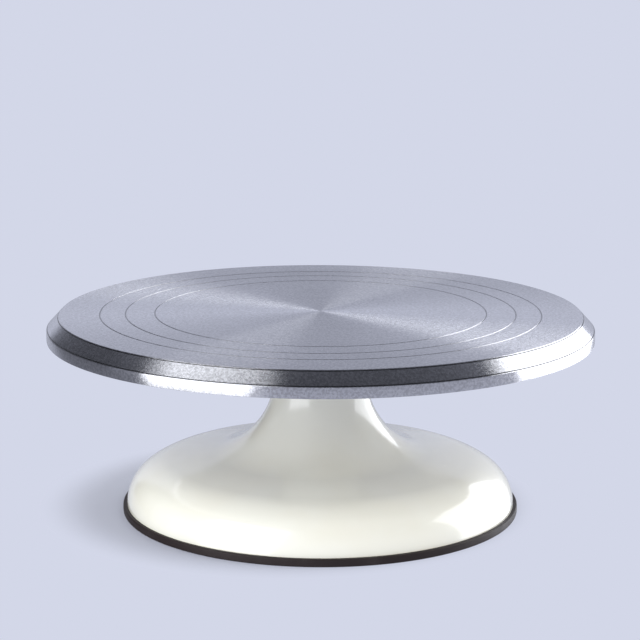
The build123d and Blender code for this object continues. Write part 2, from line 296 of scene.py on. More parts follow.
@dataclass(frozen=True)
class TurnedMetal(Finish):
    """Bare metal turned on a lathe, with tool marks round the vertical axis; its grooves get painted shade.
    """

    QUARTER_TURN = 0.25
    NOWHERE = 10.0

    anisotropy: float = 1.0
    mark_pitch: float = 0.45 * MM
    mark_depth: float = 2.5e-6
    streak_pitch: float = 1.6 * MM
    streak_depth: float = 5.0e-6
    band_pitch: float = 8.0 * MM
    grain_scale: float = 750.0
    grain_limits: Span = (0.36, 0.64)
    grain_depth: float = 2.0e-6
    rim_grain_depth: float = 13.0e-6
    smudge_scale: float = 28.0
    shade_spread: float = 0.26
    mark_share: float = 0.2
    band_share: float = 0.15
    grain_share: float = 0.45
    band_roughness: float = 0.05
    smudge_roughness: float = 0.04
    grain_roughness: float = 0.06
    smooth_beyond: float = NOWHERE
    smooth_margin: float = 0.1 * MM
    smooth_roughness: float = 0.2
    # Guide rings: painted shade, with some grime, mixes their grooves towards a darker copy of the colour.
    ring_radii: tuple[float, ...] = ()
    ring_half_width: float = 0.4 * MM
    ring_fade: Span = (0.7, 1.2)
    ring_shade_and_grime: float = 0.42
    ring_roughness: float = 0.14
    groove_shade: float = 0.06
    groove_limit: float = 0.97
    # Painted shadow: a thin dark line along each of the bevel's two edge grooves.
    edge_radius: float = NOWHERE
    edge_height: float = -NOWHERE
    edge_half_width: float = 0.25 * MM
    edge_fade: Span = (0.6, 1.0)

    def line(self, graph: Graph, distance: Value, half_width: float, fade: Span) -> Value:
        """Mark where a distance is near zero.

        Args:
            graph: The material's nodes.
            distance: Distance from the line's middle.
            half_width: Half the line's width.
            fade: Where the line starts and ends fading, as shares of its half width.

        Returns:
            1 on the line and 0 off it.
        """
        return 1.0 - graph.smooth(abs(distance), fade[0] * half_width, fade[1] * half_width)

    def paint(self, graph: Graph, shader: bpy.types.NodeInputs) -> None:
        """Feed the shader.

        Args:
            graph: The material's nodes.
            shader: The inputs of its main shader.
        """
        x, y, z = graph.split(graph.place())
        radius = (x * x + y * y) ** 0.5
        mark, streak, band = (
            graph.lines(radius - z, pitch, detail)
            for pitch, detail in ((self.mark_pitch, 3.0), (self.streak_pitch, 3.0), (self.band_pitch, 2.0))
        )
        grain = graph.noise(self.grain_scale, 3.0)
        smudge = graph.noise(self.smudge_scale, 3.0)
        shade = self.mark_share * (mark + streak) + self.band_share * band
        shade = shade + self.grain_share * graph.smooth(grain, *self.grain_limits)
        dark, light = shaded(self.colour, 1 - self.shade_spread), shaded(self.colour, 1 + self.shade_spread)
        # Painted shade, with some grime: the guide-ring grooves mix towards groove_shade times the colour.
        rings = sum(
            self.line(graph, radius - ring, self.ring_half_width, self.ring_fade) for ring in self.ring_radii
        )
        # Painted shadow lines along the bevel's two edge grooves.
        edges = self.line(graph, z - self.edge_height, self.edge_half_width, self.edge_fade)
        edges = edges + self.line(graph, radius - self.edge_radius, self.edge_half_width, self.edge_fade)
        tone_shift = graph.maths("MINIMUM", self.ring_shade_and_grime * rings + edges, self.groove_limit)
        outside = graph.smooth(
            radius, self.smooth_beyond - self.smooth_margin, self.smooth_beyond + self.smooth_margin
        )
        roughness = self.roughness + (self.smooth_roughness - self.roughness) * outside
        roughness = roughness + self.band_roughness * (band - 0.5) + self.smudge_roughness * (smudge - 0.5)
        roughness = roughness + self.grain_roughness * (grain - 0.5) + self.ring_roughness * rings
        grain_depth = self.grain_depth + (self.rim_grain_depth - self.grain_depth) * outside
        height = self.mark_depth * mark + self.streak_depth * streak + grain_depth * grain
        # The tool-mark tone, then the painted groove shade and shadow lines mixed over it.
        colour = graph.mix(tone_shift, graph.mix(shade, dark, light), shaded(self.colour, self.groove_shade))
        graph.feed(shader, {
            "Base Color": colour,
            "Metallic": 1.0,
            "Roughness": roughness,
            "Anisotropic": self.anisotropy,
            "Anisotropic Rotation": self.QUARTER_TURN,
            "Normal": graph.bump(height),
        })


@dataclass(frozen=True)
class PlatedSteel(Finish):
    """Plated, ground or blackened steel for screws, washers, races and the like."""

    cloud_scale: float = 260.0
    cloud_limits: Span = (0.3, 0.7)
    cloud_roughness: float = 0.10
    grain_scale: float = 2400.0
    grain_roughness: float = 0.08
    grain_depth: float = 0.8e-6
    tone_shift: float = 0.12

    def paint(self, graph: Graph, shader: bpy.types.NodeInputs) -> None:
        """Feed the shader.

        Args:
            graph: The material's nodes.
            shader: The inputs of its main shader.
        """
        cloud, grain = graph.noise(self.cloud_scale, 4.0), graph.noise(self.grain_scale)
        share = graph.smooth(cloud, *self.cloud_limits)
        dark, light = shaded(self.colour, 1 - self.tone_shift), shaded(self.colour, 1 + self.tone_shift)
        uneven = self.cloud_roughness * (cloud - 0.5) + self.grain_roughness * (grain - 0.5)
        graph.feed(shader, {
            "Base Color": graph.mix(share, dark, light),
            "Metallic": 1.0,
            "Roughness": self.roughness + uneven,
            "Normal": graph.bump(self.grain_depth * grain),
        })


@dataclass(frozen=True)
class GlossEnamel(Finish):
    """Thick glossy enamel over a casting, with a faint orange peel."""

    cloud_scale: float = 22.0
    cloud_limits: Span = (0.35, 0.65)
    cloud_roughness: float = 0.06
    warmth: Colour = (0.985, 0.975, 0.955)
    peel_scale: float = 200.0
    peel_depth: float = 5.0e-6
    speck_scale: float = 900.0
    speck_limits: Span = (0.78, 0.84)
    speck_share: float = 0.2
    speck_shade: float = 0.8
    speck_roughness: float = 0.1
    coat_roughness: float = 0.09

    def paint(self, graph: Graph, shader: bpy.types.NodeInputs) -> None:
        """Feed the shader.

        Args:
            graph: The material's nodes.
            shader: The inputs of its main shader.
        """
        cloud = graph.noise(self.cloud_scale, 3.0)
        speck = graph.smooth(graph.noise(self.speck_scale, 1.0), *self.speck_limits)
        warm = tuple(part * share for part, share in zip(self.colour, self.warmth))
        colour = graph.mix(graph.smooth(cloud, *self.cloud_limits), self.colour, warm)
        graph.feed(shader, {
            "Base Color": graph.mix(speck * self.speck_share, colour, shaded(self.colour, self.speck_shade)),
            "Roughness": self.roughness + self.cloud_roughness * (cloud - 0.5) + self.speck_roughness * speck,
            "Coat Weight": 1.0,
            "Coat Roughness": self.coat_roughness,
            "Normal": graph.bump(self.peel_depth * graph.noise(self.peel_scale)),
        })


@dataclass(frozen=True)
class CastUnderside(Finish):
    """Thin overspray on a sand-cast surface, where nobody polished it."""

    sand_scale: float = 700.0
    sand_share: float = 0.4
    sand_relief: float = 0.55
    sand_roughness: float = 0.1
    lump_scale: float = 90.0
    pit_depth: float = 0.12 * MM
    bare_limits: Span = (0.58, 0.66)
    bare_share: float = 0.55
    bare_roughness: float = 0.25
    iron: Colour = (0.10, 0.095, 0.09)

    def paint(self, graph: Graph, shader: bpy.types.NodeInputs) -> None:
        """Feed the shader.

        Args:
            graph: The material's nodes.
            shader: The inputs of its main shader.
        """
        sand, lump = graph.noise(self.sand_scale, 4.0), graph.noise(self.lump_scale, 3.0)
        bare = graph.smooth(lump * (1 - self.sand_share) + sand * self.sand_share, *self.bare_limits)
        relief = self.sand_relief * sand + (1 - self.sand_relief) * lump
        graph.feed(shader, {
            "Base Color": graph.mix(bare * self.bare_share, self.colour, self.iron),
            "Roughness": self.roughness + self.bare_roughness * bare + self.sand_roughness * (sand - 0.5),
            "Normal": graph.bump(self.pit_depth * relief),
        })


@dataclass(frozen=True)
class MouldedRubber(Finish):
    """Matt moulded rubber with a slight bloom and dust."""

    dust: Colour = (0.07, 0.06, 0.058)
    dust_limits: Span = (0.45, 0.75)
    dust_share: float = 0.35
    bloom_scale: float = 45.0
    bloom_weight: float = 0.7
    bloom_roughness: float = 0.2
    grain_scale: float = 1500.0
    grain_depth: float = 12.0e-6
    specular: float = 0.3

    def paint(self, graph: Graph, shader: bpy.types.NodeInputs) -> None:
        """Feed the shader.

        Args:
            graph: The material's nodes.
            shader: The inputs of its main shader.
        """
        grain, bloom = graph.noise(self.grain_scale, 3.0), graph.noise(self.bloom_scale, 4.0)
        both = bloom * self.bloom_weight + grain * (1 - self.bloom_weight)
        share = graph.smooth(both, *self.dust_limits) * self.dust_share
        graph.feed(shader, {
            "Base Color": graph.mix(share, self.colour, self.dust),
            "Specular IOR Level": self.specular,
            "Roughness": self.roughness + self.bloom_roughness * (bloom - 0.5),
            "Normal": graph.bump(self.grain_depth * grain),
        })


@dataclass(frozen=True)
class MouldedPlastic(Finish):
    """Injection-moulded plastic with a fine spark texture."""

    texture_scale: float = 2200.0
    texture_depth: float = 8.0e-6
    texture_roughness: float = 0.15
    flow_scale: float = 60.0
    flow_share: float = 0.5
    flow_shade: float = 1.25
    flow_lift: float = 0.01

    def paint(self, graph: Graph, shader: bpy.types.NodeInputs) -> None:
        """Feed the shader.

        Args:
            graph: The material's nodes.
            shader: The inputs of its main shader.
        """
        spark, flow = graph.noise(self.texture_scale), graph.noise(self.flow_scale)
        pale = tuple(min(1.0, part * self.flow_shade + self.flow_lift) for part in self.colour)
        graph.feed(shader, {
            "Base Color": graph.mix(flow * self.flow_share, self.colour, pale),
            "Roughness": self.roughness + self.texture_roughness * (spark - 0.5),
            "Normal": graph.bump(self.texture_depth * spark),
        })


@dataclass(frozen=True)
class StudioPaper(Finish):
    """Seamless studio paper: evenly bright, with soft shadows near the object, partly painted: darker paper
    set round the foot where the shadow falls.
    """

    shadow_share: float = 0.95
    covered_radii: Span = (80 * MM, 100 * MM)
    shadow_centre: Span = (-18 * MM, 11 * MM)
    shadow_radii: Span = (108 * MM, 143 * MM)
    shadow_paper: float = 0.72

    def material(self) -> bpy.types.Material:
        """Make the paper's material: part glow, part plain paper, and clear from below.

        Returns:
            The finished material.
        """
        made = bpy.data.materials.new(self.name)
        made.use_nodes = True
        graph = Graph(made.node_tree)
        x, y, _ = graph.split(graph.place())
        # Painted shadow: on a patch centred left of and behind the axis, the glow gives way to darker plain
        # paper, which also takes the real shadows.
        across, away = x - self.shadow_centre[0], y - self.shadow_centre[1]
        far = graph.smooth((across * across + away * away) ** 0.5, *self.shadow_radii)
        outside = graph.smooth((x * x + y * y) ** 0.5, *self.covered_radii)
        glow = graph.node("ShaderNodeEmission", None, {"Color": self.colour})
        paper = graph.node("ShaderNodeBsdfDiffuse", None, {"Color": shaded(self.colour, self.shadow_paper)})
        share = (1.0 - far) * outside * self.shadow_share
        both = graph.node("ShaderNodeMixShader", None, {0: share, 1: glow.outputs[0], 2: paper.outputs[0]})
        below = graph.node("ShaderNodeNewGeometry").outputs["Backfacing"]
        clear = graph.node("ShaderNodeBsdfTransparent")
        seen = graph.node("ShaderNodeMixShader", None, {0: below, 1: both.outputs[0], 2: clear.outputs[0]})
        graph.node("ShaderNodeOutputMaterial", None, {"Surface": seen.outputs[0]})
        return made


class Palette(Enum):
    """The finishes that more than one piece wears."""

    ZINC_STEEL = PlatedSteel("zinc_steel", (0.62, 0.63, 0.66), 0.30)
    GROUND_STEEL = PlatedSteel("ground_steel", (0.58, 0.58, 0.60), 0.16, grain_depth=0.4e-6, tone_shift=0.05)
    RACE_STEEL = PlatedSteel("race_steel", (0.60, 0.60, 0.62), 0.14, grain_depth=0.3e-6, tone_shift=0.04)
    BALL_STEEL = PlatedSteel("ball_steel", (0.75, 0.75, 0.77), 0.07, grain_depth=0.1e-6, tone_shift=0.02)
    SPRING_STEEL = PlatedSteel("spring_steel", (0.22, 0.21, 0.21), 0.34)
    BLACK_STEEL = PlatedSteel("black_steel", (0.06, 0.06, 0.07), 0.38)
    SEAL_RUBBER = MouldedRubber("seal_rubber", (0.022, 0.022, 0.023), 0.62)
    CAP_PLASTIC = MouldedPlastic("cap_plastic", (0.035, 0.035, 0.038), 0.45)
    CAGE_NYLON = MouldedPlastic("cage_nylon", (0.80, 0.76, 0.64), 0.42)


# ---- Mesh helpers ----


@dataclass
class Outline:
    """A turned piece's half section: corners and arcs as distance from the axis and height."""

    arc_step: float = math.radians(9)
    shortest_step: float = 0.12 * MM
    corners: list[tuple[float, float, float]] = field(default_factory=list)

    def to(self, radius: float, height: float, fillet: float = 0.0) -> "Outline":
        """Add a corner.

        Args:
            radius: Distance from the axis.
            height: Height above the floor.
            fillet: Radius that rounds the corner.

        Returns:
            The outline itself.
        """
        self.corners.append((radius, height, fillet))
        return self

    def arc(self, centre: tuple[float, float], radius: float, start: float, end: float) -> "Outline":
        """Add an arc.

        Args:
            centre: The arc's centre.
            radius: The arc's radius.
            start: First angle, from the outward direction towards up, in radians.
            end: Last angle.

        Returns:
            The outline itself.
        """
        steps = max(2, math.ceil(abs(end - start) / self.arc_step))
        for step in range(steps + 1):
            angle = start + (end - start) * step / steps
            self.to(centre[0] + radius * math.cos(angle), centre[1] + radius * math.sin(angle))
        return self

    def points(self, closed: bool) -> list[Vector]:
        """Work out the outline's points with its corners rounded.

        Args:
            closed: Whether the last corner joins the first.

        Returns:
            Points in the upright plane through the axis.
        """
        count = len(self.corners)
        result: list[Vector] = []
        for index, (radius, height, fillet) in enumerate(self.corners):
            here = Vector((radius, 0.0, height))
            is_end = not closed and index in (0, count - 1)
            if fillet == 0.0 or is_end:
                result.append(here)
                continue
            before = Vector((self.corners[index - 1][0], 0.0, self.corners[index - 1][1]))
            after_corner = self.corners[(index + 1) % count]
            after = Vector((after_corner[0], 0.0, after_corner[1]))
            result.extend(self._rounded(before, here, after, fillet))
        if closed:
            result.append(result[0].copy())
        return result

    def _rounded(self, before: Vector, here: Vector, after: Vector, fillet: float) -> list[Vector]:
        """Round one corner.

        Args:
            before: The corner before it.
            here: The corner.
            after: The corner after it.
            fillet: The rounding's radius.

        Returns:
            Points along the rounding.
        """
        back, onward = (before - here).normalized(), (after - here).normalized()
        half = back.angle(onward) / 2
        bisector = (back + onward).normalized()
        centre = here + bisector * (fillet / math.sin(half))
        first = here + back * (fillet / math.tan(half)) - centre
        last = here + onward * (fillet / math.tan(half)) - centre
        turn = first.angle(last)
        steps = max(2, math.ceil(turn / max(self.arc_step, self.shortest_step / fillet)))
        return [
            centre + (first * math.sin(turn * (1 - step / steps)) + last * math.sin(turn * step / steps))
            / math.sin(turn)
            for step in range(steps + 1)
        ]


class GeometryTree:
    """A geometry node tree with named inputs, applied to one mesh and turned into a plain mesh."""

    def __init__(self, name: str, inputs: dict[str, str]) -> None:
        """Start a tree.

        Args:
            name: The tree's name.
            inputs: Socket type of each named input.
        """
        self.group = bpy.data.node_groups.new(name, "GeometryNodeTree")
        interface = self.group.interface
        interface.new_socket("Geometry", in_out="INPUT", socket_type="NodeSocketGeometry")
        self.identifiers = {
            label: interface.new_socket(label, in_out="INPUT", socket_type=kind).identifier
            for label, kind in inputs.items()
        }
        interface.new_socket("Geometry", in_out="OUTPUT", socket_type="NodeSocketGeometry")
        self.graph = Graph(self.group)
        self.entry = self.graph.node("NodeGroupInput")

    def given(self, label: str) -> bpy.types.NodeSocket:
        """The socket of a named input."""
        return self.entry.outputs[label]

    def finish(self, geometry: bpy.types.NodeSocket) -> None:
        """End the tree in real, dressed geometry.

        Args:
            geometry: The socket that holds the shape.
        """
        real = self.graph.node("GeometryNodeRealizeInstances", None, {"Geometry": geometry})
        dressed = self.graph.node(
            "GeometryNodeSetMaterial",
            None,
            {"Geometry": real.outputs[0], "Material": self.given("Material")},
        )
        self.graph.node("NodeGroupOutput", None, {0: dressed.outputs[0]})

    def apply(self, name: str, source: bpy.types.Mesh, values: dict[str, Source]) -> bpy.types.Object:
        """Run the tree on a mesh.

        Args:
            name: The new object's name.
            source: The mesh that enters the tree.
            values: A value for each named input.

        Returns:
            An object at the origin with a plain mesh.
        """
        made = bpy.data.objects.new(name, source)
        bpy.context.scene.collection.objects.link(made)
        modifier = made.modifiers.new(name, "NODES")
        modifier.node_group = self.group
        for label, value in values.items():
            modifier[self.identifiers[label]] = value
        bpy.context.view_layer.update()
        evaluated = made.evaluated_get(bpy.context.evaluated_depsgraph_get())
        plain = bpy.data.meshes.new_from_object(evaluated)
        made.modifiers.remove(modifier)
        made.data = plain
        plain.name = name
        bpy.data.meshes.remove(source)
        return made


class Lathe(GeometryTree):
    """Turns an outline about the vertical axis."""

    MERGE = 1e-6

    def __init__(self) -> None:
        """Build the tree: a grid whose rows are outline points and whose columns are angles."""
        super().__init__(
            "lathe",
            {
                "Segments": "NodeSocketInt",
                "Merge Distance": "NodeSocketFloat",
                "Material": "NodeSocketMaterial",
            },
        )
        graph = self.graph
        source = self.given("Geometry")
        segments = graph.value(self.given("Segments"))
        size = graph.node("GeometryNodeAttributeDomainSize", {"component": "MESH"}, {0: source})
        columns = segments + 1.0
        grid = graph.node(
            "GeometryNodeMeshGrid",
            None,
            {"Vertices X": size.outputs["Point Count"], "Vertices Y": columns},
        )
        index = graph.value(graph.node("GeometryNodeInputIndex").outputs[0])
        row = ((index + 0.5) / columns).floor()
        column = index - row * columns
        position = graph.node("GeometryNodeInputPosition").outputs[0]
        point = graph.node(
            "GeometryNodeSampleIndex",
            {"data_type": "FLOAT_VECTOR", "domain": "POINT"},
            {"Geometry": source, "Value": position, "Index": row},
        )
        radius, _, height = graph.split(point.outputs[0])
        angle = column * (2 * math.pi) / segments
        place = graph.node(
            "ShaderNodeCombineXYZ",
            None,
            {0: radius * graph.maths("COSINE", angle), 1: radius * graph.maths("SINE", angle), 2: height},
        )
        moved = graph.node(
            "GeometryNodeSetPosition", None, {"Geometry": grid.outputs["Mesh"], "Position": place.outputs[0]}
        )
        joined = graph.node(
            "GeometryNodeMergeByDistance",
            None,
            {"Geometry": moved.outputs[0], "Distance": self.given("Merge Distance")},
        )
        self.finish(joined.outputs[0])

    def turn(
        self, name: str, outline: Outline, closed: bool, segments: int, finish: Finish
    ) -> bpy.types.Object:
        """Turn an outline into a solid.

        Args:
            name: The new object's name.
            outline: The half section.
            closed: Whether the section is a ring that never meets the axis.
            segments: Number of steps round the axis.
            finish: What it wears.

        Returns:
            A closed, smooth object with outward faces.
        """
        points = outline.points(closed)
        profile = bpy.data.meshes.new(name + "_profile")
        profile.from_pydata(points, [(step, step + 1) for step in range(len(points) - 1)], [])
        made = self.apply(
            name,
            profile,
            {"Segments": segments, "Merge Distance": self.MERGE, "Material": finish.material()},
        )
        MeshCare.close_and_smooth(made.data)
        return made


class Ring(GeometryTree):
    """Repeats a small mesh evenly round the vertical axis."""

    def __init__(self) -> None:
        """Build the tree: the mesh is placed on the points of a circle and turned to face out."""
        super().__init__(
            "ring_of_pieces",
            {"Count": "NodeSocketInt", "Circle Radius": "NodeSocketFloat", "Material": "NodeSocketMaterial"},
        )
        graph = self.graph
        circle = graph.node(
            "GeometryNodeMeshCircle",
            {"fill_type": "NONE"},
            {"Vertices": self.given("Count"), "Radius": self.given("Circle Radius")},
        )
        index = graph.value(graph.node("GeometryNodeInputIndex").outputs[0])
        angle = index * (2 * math.pi) / graph.value(self.given("Count"))
        turned = graph.node("ShaderNodeCombineXYZ", None, {2: angle})
        placed = graph.node(
            "GeometryNodeInstanceOnPoints",
            None,
            {
                "Points": circle.outputs["Mesh"],
                "Instance": self.given("Geometry"),
                "Rotation": turned.outputs[0],
            },
        )
        self.finish(placed.outputs[0])

    def repeat(
        self, name: str, piece: bpy.types.Mesh, count: int, radius: float, finish: Finish
    ) -> bpy.types.Object:
        """Repeat a mesh round a circle.

        Args:
            name: The new object's name.
            piece: The mesh, centred on the vertical axis.
            count: Number of copies; the first lies on +X.
            radius: The circle's radius.
            finish: What the copies wear.

        Returns:
            One object that holds all the copies.
        """
        made = self.apply(
            name, piece, {"Count": count, "Circle Radius": radius, "Material": finish.material()}
        )
        MeshCare.close_and_smooth(made.data)
        return made


class MeshCare:
    """Small jobs on finished meshes."""

    CREASE = math.radians(24)
    SLIVER = 1e-7
    RUN_UP = 1 * MM
    HEXAGON_SIDES = 6

    @classmethod
    def close_and_smooth(cls, mesh: bpy.types.Mesh) -> None:
        """Turn faces outward, and shade smooth except across real edges.

        Args:
            mesh: The mesh to mend.
        """
        work = bmesh.new()
        work.from_mesh(mesh)
        bmesh.ops.dissolve_degenerate(work, dist=cls.SLIVER, edges=work.edges)
        bmesh.ops.recalc_face_normals(work, faces=work.faces)
        if work.calc_volume(signed=True) < 0:
            bmesh.ops.reverse_faces(work, faces=work.faces)
        for face in work.faces:
            face.smooth = True
        for edge in work.edges:
            edge.smooth = len(edge.link_faces) == 2 and edge.calc_face_angle(0.0) < cls.CREASE
        work.to_mesh(mesh)
        work.free()

    @staticmethod
    def new_object(name: str, work: bmesh.types.BMesh, finish: Finish) -> bpy.types.Object:
        """Turn a work mesh into an object.

        Args:
            name: The object's name.
            work: The work mesh, which is freed.
            finish: What it wears.

        Returns:
            The new object.
        """
        mesh = bpy.data.meshes.new(name)
        work.to_mesh(mesh)
        work.free()
        mesh.materials.append(finish.material())
        made = bpy.data.objects.new(name, mesh)
        bpy.context.scene.collection.objects.link(made)
        MeshCare.close_and_smooth(mesh)
        return made

    @staticmethod
    def combine(piece: bpy.types.Object, other: bpy.types.Object, operation: str) -> None:
        """Join another solid to a piece, or cut it out, and remove the other.

        Args:
            piece: The object that changes.
            other: The solid to use up.
            operation: The Boolean modifier's operation.
        """
        modifier = piece.modifiers.new("combine", "BOOLEAN")
        modifier.operation = operation
        modifier.solver = "MANIFOLD"
        modifier.object = other
        bpy.context.view_layer.update()
        evaluated = piece.evaluated_get(bpy.context.evaluated_depsgraph_get())
        changed = bpy.data.meshes.new_from_object(evaluated)
        piece.modifiers.remove(modifier)
        piece.data = changed
        bpy.data.objects.remove(other)
        MeshCare.close_and_smooth(changed)

    @staticmethod
    def cut_holes(
        piece: bpy.types.Object,
        places: Sequence[tuple[float, float]],
        radius: float,
        low: float,
        high: float,
        sides: int = 48,
    ) -> None:
        """Cut upright round or many-sided holes.

        Args:
            piece: The object to drill.
            places: Centre of each hole.
            radius: The holes' radius, to their corners.
            low: Height where the cutters start.
            high: Height where the cutters end.
            sides: Number of sides.
        """
        work = bmesh.new()
        for x, y in places:
            bmesh.ops.create_cone(
                work,
                cap_ends=True,
                segments=sides,
                radius1=radius,
                radius2=radius,
                depth=high - low,
                matrix=Matrix.Translation((x, y, (low + high) / 2)),
            )
        mesh = bpy.data.meshes.new("cutter")
        work.to_mesh(mesh)
        work.free()
        cutter = bpy.data.objects.new("cutter", mesh)
        bpy.context.scene.collection.objects.link(cutter)
        MeshCare.combine(piece, cutter, "DIFFERENCE")

    @staticmethod
    def cut_socket(piece: bpy.types.Object, width: float, face: float, floor: float) -> None:
        """Cut a hexagon socket up into a screw's head.

        Args:
            piece: The screw, on the vertical axis.
            width: The hexagon's width across its flats.
            face: Height of the head's face.
            floor: Height of the socket's floor.
        """
        corner = width / 2 / math.cos(math.pi / MeshCare.HEXAGON_SIDES)
        MeshCare.cut_holes(
            piece, [(0.0, 0.0)], corner, face - MeshCare.RUN_UP, floor, MeshCare.HEXAGON_SIDES
        )


def add_piece(piece: bpy.types.Object, body: str, slot: str, *nodes: str) -> None:
    """Hang a finished piece on its body's empty and hide the CAD nodes that it replaces.

    Args:
        piece: The finished object.
        body: The body that it moves with.
        slot: The record's material slot that it stands for; not used.
        nodes: The CAD nodes that it replaces.
    """
    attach(piece, body)
    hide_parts(*nodes)
    LOG.info("%s: %d faces on %s, for %s", piece.name, len(piece.data.polygons), body, ", ".join(nodes))


def dress_node(node: str, finish: Finish) -> None:
    """Give a CAD node that stays its finish.

    Args:
        node: The node's name.
        finish: What it wears.
    """
    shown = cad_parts[node]
    if not shown.material_slots:
        shown.data.materials.append(None)
    for holder in shown.material_slots:
        holder.material = finish.material()
    LOG.info("%s: dressed in %s", node, finish.name)


# ---- The turntable's pieces ----


@dataclass
class Plate:
    """The turned plate: bevelled rim, recessed underside, hub pad, tapped holes and guide rings."""

    lathe: Lathe
    bevel_width: float = 6.9 * MM
    bevel_height: float = 7.4 * MM
    edge_rounding: float = 0.2 * MM
    edge_groove_place: float = 0.7 * MM
    edge_groove_width: float = 0.5 * MM
    edge_groove_depth: float = 0.15 * MM
    rim_foot_width: float = 5.5 * MM
    rim_inner_slope_width: float = 3.0 * MM
    recess_rounding: float = 2.5 * MM
    pad_height: float = 1.5 * MM
    pad_margin: float = 1.5 * MM
    pad_rounding: float = 1.0 * MM
    guide_ring_insets: tuple[float, ...] = (29.5 * MM, 43.7 * MM, 60.0 * MM)
    guide_ring_width: float = 1.0 * MM
    guide_ring_depth: float = 0.35 * MM
    hole_skin: float = 1.5 * MM
    segments: int = 360

    def finish(self, radius: float) -> TurnedMetal:
        """Work out the plate's finish.

        Args:
            radius: The plate's radius.

        Returns:
            Turned aluminium, smoother on the bevel and rim than on top.
        """
        return TurnedMetal(
            "turned_aluminium",
            (0.69, 0.69, 0.72),
            0.24,
            smooth_beyond=radius - self.bevel_width,
            smooth_roughness=0.25,
            # The guide rings and the bevel's two edge grooves get painted shade in the finish.
            ring_radii=tuple(radius - inset for inset in self.guide_ring_insets),
            edge_radius=radius - self.bevel_width + self.edge_groove_width,
            edge_height=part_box("turntable_plate")[1].z - self.bevel_height + self.edge_groove_width,
        )

    def outline(self, radius: float, low: float, top: float) -> Outline:
        """Draw the plate's half section, from the axis on top to the axis underneath.

        Args:
            radius: The plate's radius.
            low: Height of the rim's lower edge.
            top: Height of the plate's top.

        Returns:
            The outline.
        """
        hub_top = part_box("plate_hub")[1]
        underside = hub_top.z + self.pad_height
        pad_radius = hub_top.x + self.pad_margin
        foot_inner = radius - self.rim_foot_width
        recess_radius = foot_inner - self.rim_inner_slope_width
        half = self.guide_ring_width / 2
        outline = Outline().to(0.0, top)
        for inset in sorted(self.guide_ring_insets, reverse=True):
            middle = radius - inset
            outline.to(middle - half, top).to(middle, top - self.guide_ring_depth).to(middle + half, top)
        start = Vector((radius - self.bevel_width, 0.0, top))
        end = Vector((radius, 0.0, top - self.bevel_height))
        down = (end - start).normalized()
        inward = Vector((down.z, 0.0, -down.x))
        outline.to(start.x, start.z, self.edge_rounding)
        for middle in (start + down * self.edge_groove_place, end - down * self.edge_groove_place):
            half_groove = down * self.edge_groove_width / 2
            bottom = middle + inward * self.edge_groove_depth
            for point in (middle - half_groove, bottom, middle + half_groove):
                outline.to(point.x, point.z)
        outline.to(end.x, end.z, self.edge_rounding)
        outline.to(radius, low, self.edge_rounding)
        outline.to(foot_inner, low, self.edge_rounding)
        outline.to(recess_radius, underside, self.recess_rounding)
        outline.to(pad_radius, underside, self.pad_rounding)
        return outline.to(pad_radius, hub_top.z, self.edge_rounding).to(0.0, hub_top.z)

    def build(self) -> None:
        """Turn the plate, drill its tapped holes and hand it over."""
        low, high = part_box("turntable_plate")
        outline = self.outline(high.x, low.z, high.z)
        plate = self.lathe.turn("plate", outline, False, self.segments, self.finish(high.x))
        circle_radius = HubScrews.circle_radius()
        places = [
            (circle_radius * math.cos(turn), circle_radius * math.sin(turn))
            for turn in (step * 2 * math.pi / HubScrews.COUNT for step in range(HubScrews.COUNT))
        ]
        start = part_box("plate_hub")[1].z - MeshCare.RUN_UP
        MeshCare.cut_holes(plate, places, HubScrews.SHANK_RADIUS, start, high.z - self.hole_skin)
        add_piece(plate, "turntable", "turned_aluminium", "turntable_plate")


@dataclass
class HubScrews:
    """Button-head screws that hold the hub to the plate, each with a hexagon socket."""

    COUNT = 4
    HEAD_RADIUS = 4.75 * MM
    SHANK_RADIUS = 2.5 * MM

    lathe: Lathe
    ring: Ring
    head_height: float = 2.7 * MM
    head_rounding: float = 1.6 * MM
    seat_rounding: float = 0.15 * MM
    tip_taper: float = 0.4 * MM
    socket_width: float = 3.0 * MM
    socket_depth: float = 1.5 * MM
    thread_pitch: float = 0.8 * MM
    thread_depth: float = 0.3 * MM
    segments: int = 48

    @classmethod
    def circle_radius(cls) -> float:
        """Radius of the circle that the screws stand on."""
        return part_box("hub_screws")[1].x - cls.HEAD_RADIUS

    def one(self, low: float, high: float) -> bpy.types.Object:
        """Make one screw on the vertical axis.

        Args:
            low: Height of its head's face.
            high: Height of its tip.

        Returns:
            The screw.
        """
        seat, shank = low + self.head_height, self.SHANK_RADIUS
        outline = Outline().to(0.0, low).to(self.HEAD_RADIUS, low, self.head_rounding)
        outline.to(self.HEAD_RADIUS, seat, self.seat_rounding).to(shank, seat)
        turns = int((high - seat) / self.thread_pitch) - 1
        for turn in range(turns):
            start = seat + (turn + 0.5) * self.thread_pitch
            outline.to(shank, start).to(shank - self.thread_depth, start + self.thread_pitch / 2)
        outline.to(shank, seat + (turns + 0.5) * self.thread_pitch)
        outline.to(shank - self.tip_taper, high).to(0.0, high)
        screw = self.lathe.turn("one_screw", outline, False, self.segments, Palette.ZINC_STEEL.value)
        MeshCare.cut_socket(screw, self.socket_width, low, low + self.socket_depth)
        return screw

    def build(self) -> None:
        """Repeat the screw round the hub and hand the set over."""
        low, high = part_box("hub_screws")
        screw = self.one(low.z, high.z)
        mesh = screw.data
        bpy.data.objects.remove(screw)
        screws = self.ring.repeat(
            "flange_screws", mesh, self.COUNT, self.circle_radius(), Palette.ZINC_STEEL.value
        )
        add_piece(screws, "turntable", "zinc_steel", "hub_screws")


